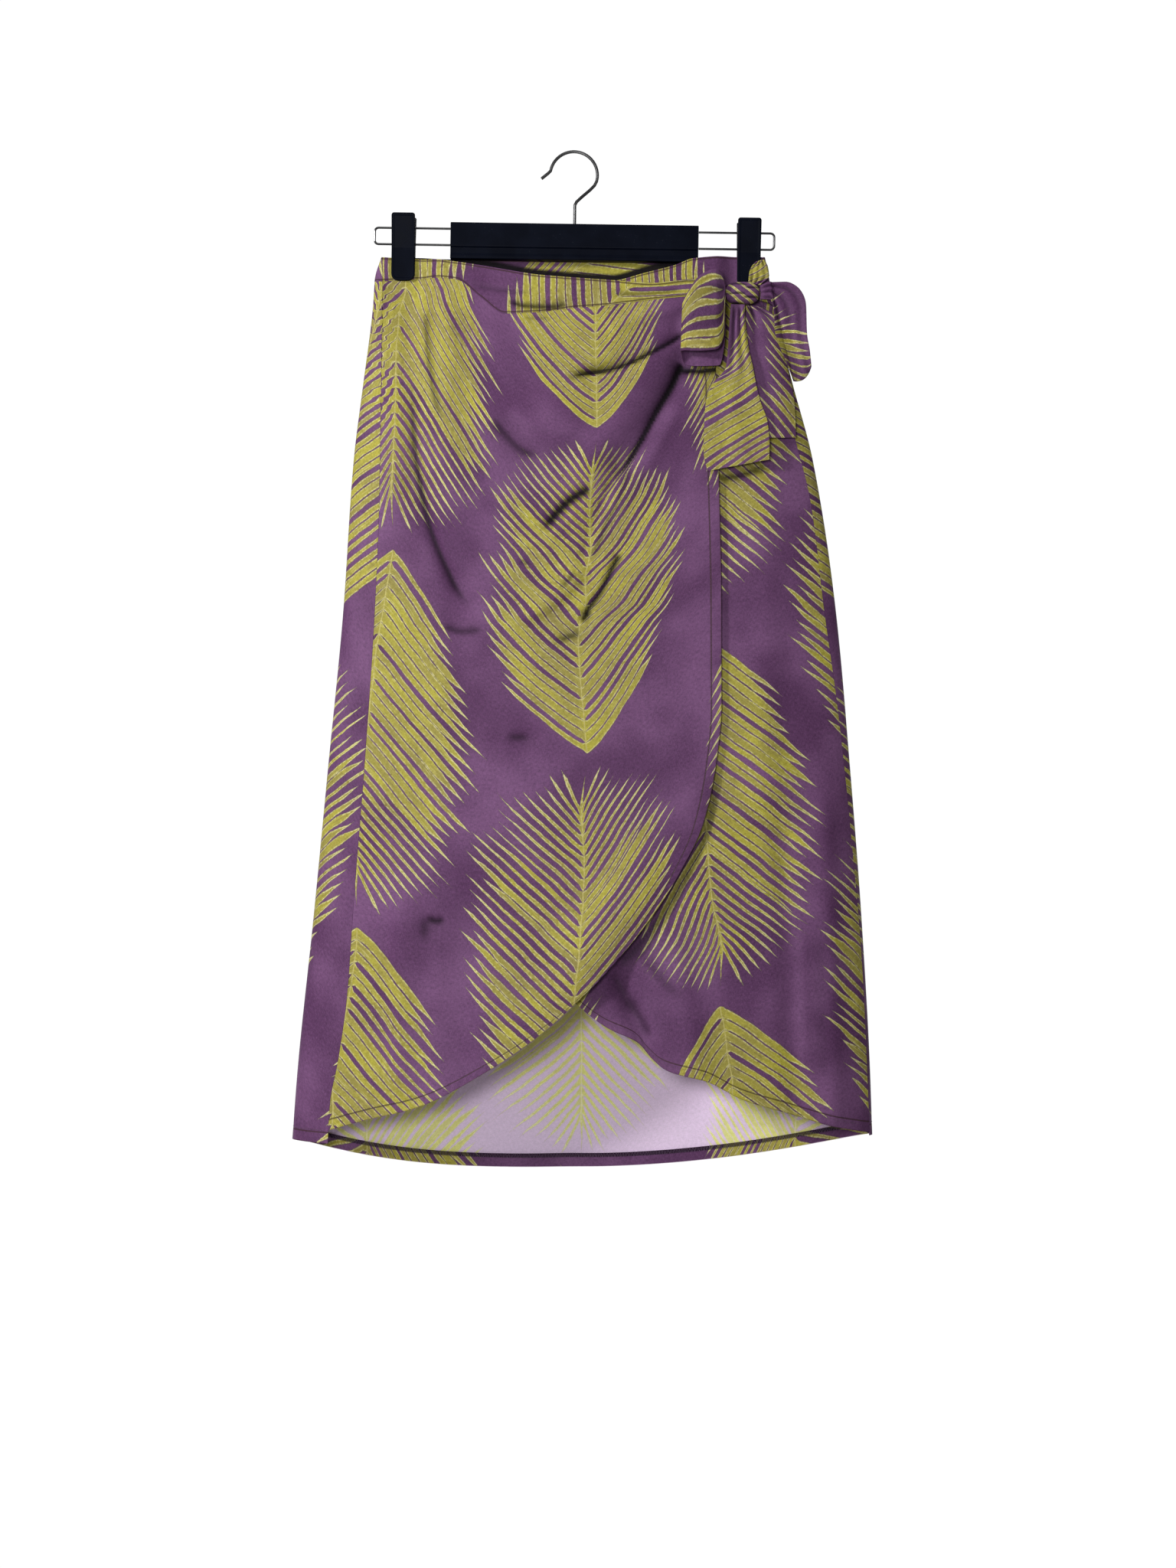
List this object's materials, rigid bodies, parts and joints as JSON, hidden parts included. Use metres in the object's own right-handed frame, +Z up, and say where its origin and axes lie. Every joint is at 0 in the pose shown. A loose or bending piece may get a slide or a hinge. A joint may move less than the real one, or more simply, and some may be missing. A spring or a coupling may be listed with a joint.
{
  "type": "sarong skirt on a clip hanger",
  "caption": "Printed wrap skirt with a curved overlap and a tied bow at the waist, hanging from a clip hanger.",
  "frame": {"origin": "highest point inside the hook, where the hanger rests on what holds it", "axes": "+Z up, +X to the right as seen from the front, the front of the skirt faces -Y"},
  "size_m": [0.5455, 0.1162, 0.963],
  "materials": {
    "printed_cloth": "fine plain weave with a soft sheen, chartreuse palm fronds printed on aubergine",
    "tie_cloth": "the same printed cloth, its paler reverse in view",
    "hanger_plastic": "satin moulded plastic",
    "hanger_wire": "bright drawn wire"
  },
  "bodies": {
    "root": {"front_overlap": "printed_cloth", "front_underlap": "printed_cloth", "back_panel_upper_left": "printed_cloth", "back_panel_upper_right": "printed_cloth", "back_panel_lower_left": "printed_cloth", "back_panel_lower_right": "printed_cloth", "waistband_overlap": "printed_cloth", "waistband_underlap": "printed_cloth", "waistband_back": "printed_cloth", "hem_turn_up": "printed_cloth", "tie_knot": "tie_cloth", "tie_loop_left": "tie_cloth", "tie_loop_right": "tie_cloth", "tie_tail_long": "tie_cloth", "tie_tail_short": "tie_cloth", "tie_strap_front": "tie_cloth", "tie_strap_side": "tie_cloth", "hanger_bar": "hanger_plastic", "hanger_hook": "hanger_wire", "hanger_wire_left": "hanger_wire", "hanger_wire_right": "hanger_wire", "clip_left_front": "hanger_plastic", "clip_left_back": "hanger_plastic", "clip_left_core": "hanger_plastic", "clip_right_front": "hanger_plastic", "clip_right_back": "hanger_plastic", "clip_right_core": "hanger_plastic"}
  },
  "joints": []
}
